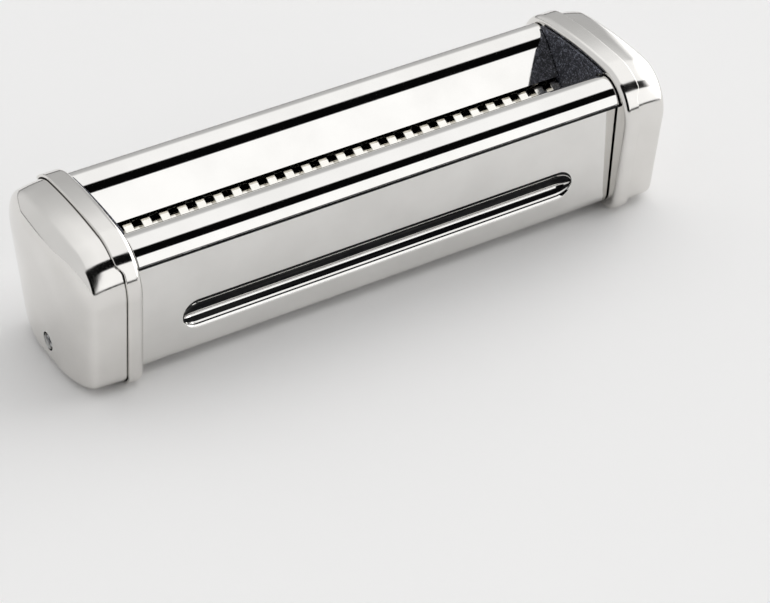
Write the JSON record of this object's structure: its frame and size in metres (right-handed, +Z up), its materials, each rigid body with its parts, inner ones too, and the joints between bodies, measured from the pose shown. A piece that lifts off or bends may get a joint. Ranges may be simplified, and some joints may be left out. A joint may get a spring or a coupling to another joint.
{
  "type": "pasta machine cutter attachment",
  "caption": "Chrome noodle-cutting attachment for a hand-cranked pasta machine: feed hopper, two interlocking grooved rollers on geared shafts, domed end caps.",
  "frame": {"origin": "under the middle of the attachment, on the plane that the two end flanges stand on", "axes": "+X along the rollers towards the crank end, -Y towards the front, +Z up"},
  "size_m": [0.19, 0.0562, 0.0488],
  "materials": {
    "chrome": "bright plated sheet, mirror reflections",
    "satin_chrome": "plated, slightly warmer and softer than the covers",
    "cutter_steel": "turned and plated",
    "zinc_steel": "zinc plated",
    "gear_steel": "cut steel, oiled",
    "bronze": "sintered bearing bronze",
    "graphite_plastic": "dark moulded plastic, fine grain"
  },
  "bodies": {
    "housing": {"front_cover": "chrome", "front_comb": "graphite_plastic", "front_top_rod": "zinc_steel", "front_foot_rod": "zinc_steel", "rear_cover": "chrome", "rear_comb": "graphite_plastic", "rear_top_rod": "zinc_steel", "rear_foot_rod": "zinc_steel", "left_side_plate": "satin_chrome", "left_cheek_plate": "graphite_plastic", "left_end_cap": "satin_chrome", "left_cap_post": "zinc_steel", "left_cap_screw": "zinc_steel", "left_front_bush": "bronze", "left_front_top_screw": "zinc_steel", "left_front_foot_screw": "zinc_steel", "left_rear_bush": "bronze", "left_rear_top_screw": "zinc_steel", "left_rear_foot_screw": "zinc_steel", "right_side_plate": "satin_chrome", "right_cheek_plate": "graphite_plastic", "right_end_cap": "satin_chrome", "right_cap_post": "zinc_steel", "right_cap_screw": "zinc_steel", "right_front_bush": "bronze", "right_front_top_screw": "zinc_steel", "right_front_foot_screw": "zinc_steel", "right_rear_bush": "bronze", "right_rear_top_screw": "zinc_steel", "right_rear_foot_screw": "zinc_steel"},
    "front_roller": {"front_cutting_roller": "cutter_steel", "front_gear": "gear_steel", "front_gear_clip": "zinc_steel", "drive_socket": "zinc_steel"},
    "rear_roller": {"rear_cutting_roller": "cutter_steel", "rear_gear": "gear_steel", "rear_gear_clip": "zinc_steel"}
  },
  "joints": [
    {"name": "front_roller_spin", "type": "hinge", "parent": "housing", "child": "front_roller", "pos_m": [0, -0.0085, 0.0238], "axis": [1, 0, 0], "continuous": true},
    {"name": "rear_roller_spin", "type": "hinge", "parent": "housing", "child": "rear_roller", "pos_m": [0, 0.0085, 0.0238], "axis": [1, 0, 0], "continuous": true}
  ],
  "couplings": [
    {"joint": "rear_roller_spin", "follows": "front_roller_spin", "ratio": -1}
  ]
}
